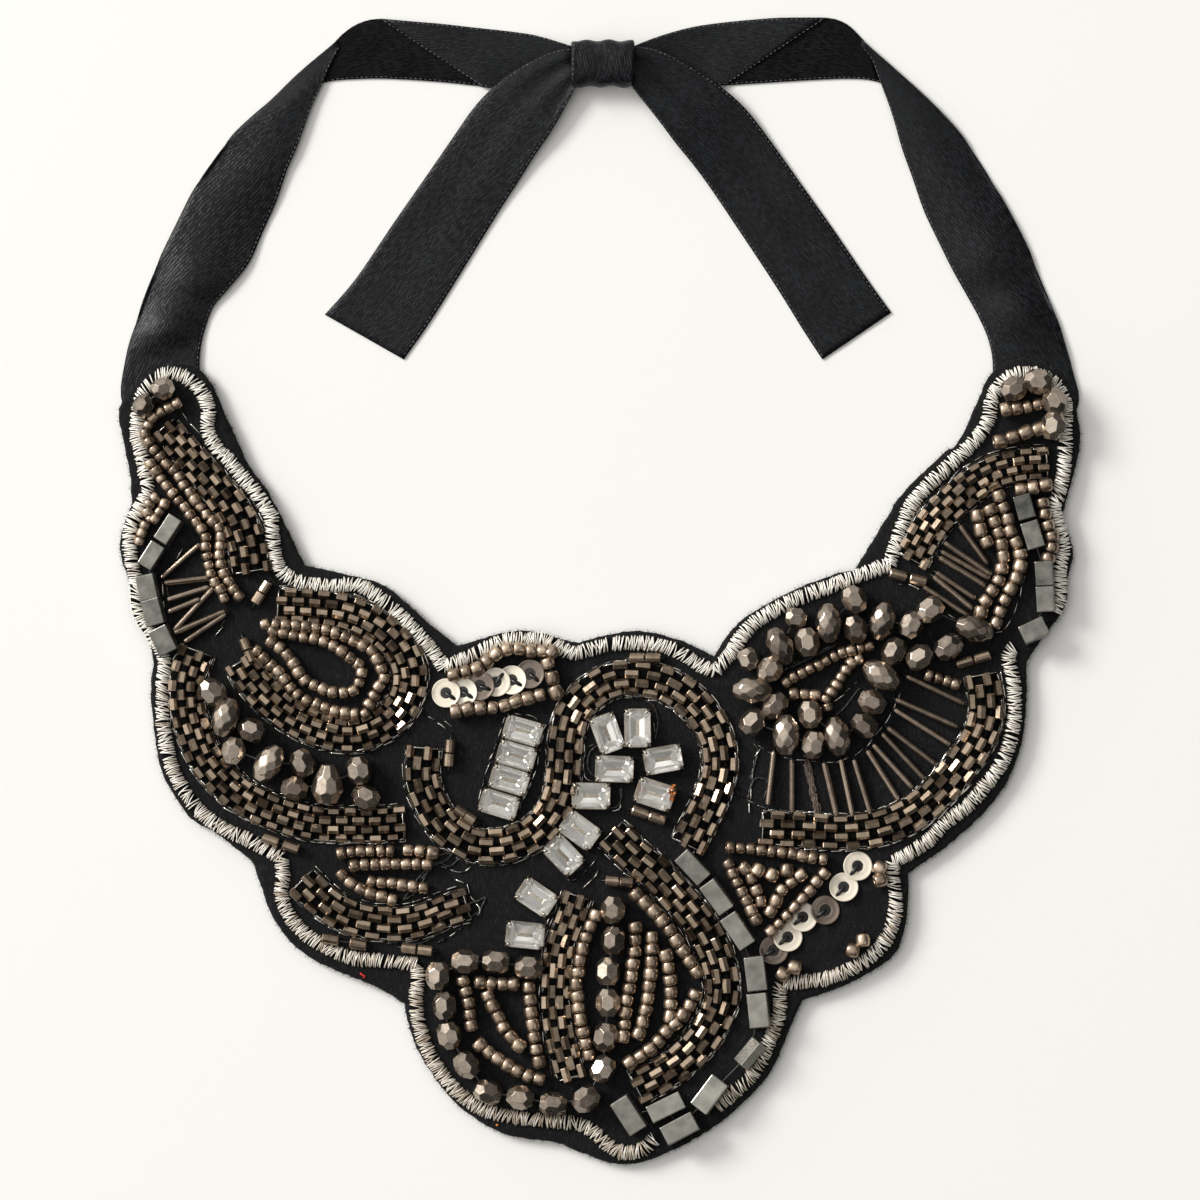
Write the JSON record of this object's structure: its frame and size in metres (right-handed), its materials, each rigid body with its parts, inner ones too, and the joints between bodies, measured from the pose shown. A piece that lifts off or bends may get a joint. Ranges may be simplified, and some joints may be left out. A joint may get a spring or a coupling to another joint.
{
  "type": "bib necklace",
  "caption": "Black felt bib necklace with woven bead bands, claw-set clear stones, block and faceted beads, a stitched silver border and a tied satin ribbon, lying flat.",
  "frame": {"origin": "under the middle of the whole necklace, on the surface that it lies on", "axes": "+Y along the necklace from the bottom of the bib to the ribbon's knot, +X to the wearer's left as the front is seen, +Z out of the front"},
  "size_m": [0.2058, 0.246, 0.0083],
  "materials": {
    "felt": "matte black wool felt",
    "satin": "black satin ribbon with a low sheen",
    "silver_stitch": "metallic silver thread in satin stitch",
    "bronze_beads": "polished bronze-coloured glass",
    "setting_metal": "aged silver plate worn to brass",
    "crystal": "clear foil-backed cut glass",
    "hematite": "satin grey mineral",
    "gunmetal_beads": "polished gunmetal-coated faceted glass",
    "sequin": "pearly champagne film"
  },
  "bodies": {
    "root": {"band_centre": "bronze_beads", "band_leaf_arc": "bronze_beads", "band_leaf_spine": "bronze_beads", "band_left_arm": "bronze_beads", "band_left_eye": "bronze_beads", "band_left_outer": "bronze_beads", "band_lower_left": "bronze_beads", "band_right_arm": "bronze_beads", "band_right_fan": "bronze_beads", "bib_panel": "felt", "border_main": "silver_stitch", "border_right": "silver_stitch", "bow_knot": "satin", "bugles_left_arm": "bronze_beads", "bugles_right_arm": "bronze_beads", "bugles_right_fan": "bronze_beads", "claw_setting_01": "setting_metal", "claw_setting_02": "setting_metal", "claw_setting_03": "setting_metal", "claw_setting_04": "setting_metal", "claw_setting_05": "setting_metal", "claw_setting_06": "setting_metal", "claw_setting_07": "setting_metal", "claw_setting_08": "setting_metal", "claw_setting_09": "setting_metal", "claw_setting_10": "setting_metal", "claw_setting_11": "setting_metal", "claw_setting_12": "setting_metal", "claw_setting_13": "setting_metal", "claw_setting_14": "setting_metal", "crystal_01": "crystal", "crystal_02": "crystal", "crystal_03": "crystal", "crystal_04": "crystal", "crystal_05": "crystal", "crystal_06": "crystal", "crystal_07": "crystal", "crystal_08": "crystal", "crystal_09": "crystal", "crystal_10": "crystal", "crystal_11": "crystal", "crystal_12": "crystal", "crystal_13": "crystal", "crystal_14": "crystal", "faceted_string_leaf": "gunmetal_beads", "faceted_string_left": "gunmetal_beads", "faceted_string_left_tip": "gunmetal_beads", "faceted_string_right_tip": "gunmetal_beads", "faceted_string_rosette": "gunmetal_beads", "hematite_string_bottom": "hematite", "hematite_string_left": "hematite", "hematite_string_right": "hematite", "sequins_right": "sequin", "sequins_top": "sequin", "strap_left": "satin", "strap_right": "satin", "tail_left": "satin", "tail_right": "satin"}
  },
  "joints": []
}
